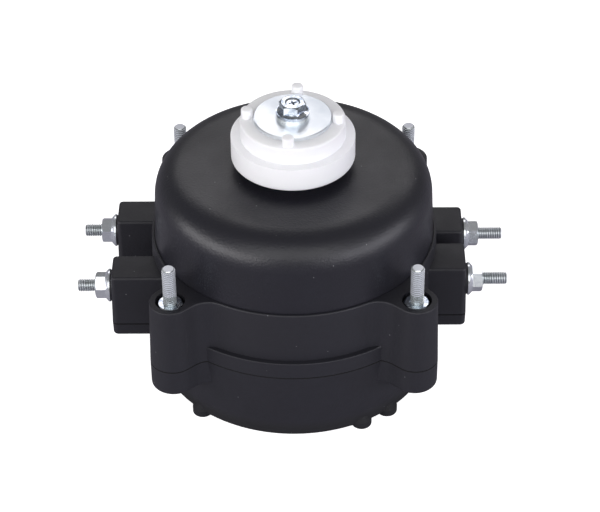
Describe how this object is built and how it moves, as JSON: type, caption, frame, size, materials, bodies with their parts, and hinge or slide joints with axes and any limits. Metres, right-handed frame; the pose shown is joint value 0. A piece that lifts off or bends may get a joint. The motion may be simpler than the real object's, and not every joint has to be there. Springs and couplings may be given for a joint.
{
  "type": "fan motor",
  "caption": "Small refrigeration fan motor: black moulded can with corner lugs and studs, side blocks with flange nuts, and a white fan hub on its shaft.",
  "frame": {"origin": "middle of the base's underside, on the shaft's axis", "axes": "+Z along the shaft towards the fan hub; X and Y square to the four face studs, the side nuts face along X, and the lead inlet faces +Y"},
  "size_m": [0.1297, 0.093, 0.093],
  "materials": {
    "black_moulding": "moulded, satin, slightly mottled",
    "white_hub": "moulded, satin white",
    "zinc_fasteners": "bright zinc plating",
    "ground_steel": "ground",
    "black_rubber": "matt",
    "cast_aluminium": "die cast",
    "bronze": "sintered",
    "felt": "felt",
    "lamination_steel": "stacked sheet",
    "insulator_plastic": "moulded",
    "copper_wire": "enamelled",
    "tinned_wire": "tinned",
    "ferrite": "sintered",
    "board_laminate": "varnished glass fibre",
    "component_plastic": "moulded",
    "can_aluminium": "sleeved can"
  },
  "bodies": {
    "motor_body": {"base_cover": "black_moulding", "middle_housing": "black_moulding", "front_shell": "black_moulding", "face_studs": "zinc_fasteners", "lug_nuts": "zinc_fasteners", "side_screws": "zinc_fasteners", "side_nuts": "zinc_fasteners", "seam_seal": "black_rubber", "lead_grommet": "black_rubber", "bearing_housing": "cast_aluminium", "bearing_sleeve": "bronze", "oil_wick": "felt", "bearing_cap": "cast_aluminium", "shaft_seal": "black_rubber", "stator_core": "lamination_steel", "upper_insulator": "insulator_plastic", "lower_insulator": "insulator_plastic", "stator_coils": "copper_wire", "stator_screws": "zinc_fasteners", "phase_pins": "tinned_wire", "control_board": "board_laminate", "board_screws": "zinc_fasteners", "bulk_capacitor": "can_aluminium", "line_choke": "copper_wire", "line_fuse": "component_plastic", "surge_varistor": "component_plastic", "bridge_rectifier": "component_plastic", "control_chip": "component_plastic", "lead_terminal": "insulator_plastic", "power_transistors": "component_plastic"},
    "rotor": {"rotor_shaft": "ground_steel", "rotor_iron": "lamination_steel", "rotor_magnets": "ferrite", "thrust_washer": "ground_steel", "oil_slinger": "ground_steel", "fan_hub": "white_hub", "clamp_washer": "zinc_fasteners", "lock_washer": "zinc_fasteners", "hub_screw": "zinc_fasteners"}
  },
  "joints": [
    {"name": "rotor_spin", "type": "hinge", "parent": "motor_body", "child": "rotor", "pos_m": [0, 0, 0.074], "axis": [0, 0, 1], "continuous": true}
  ]
}
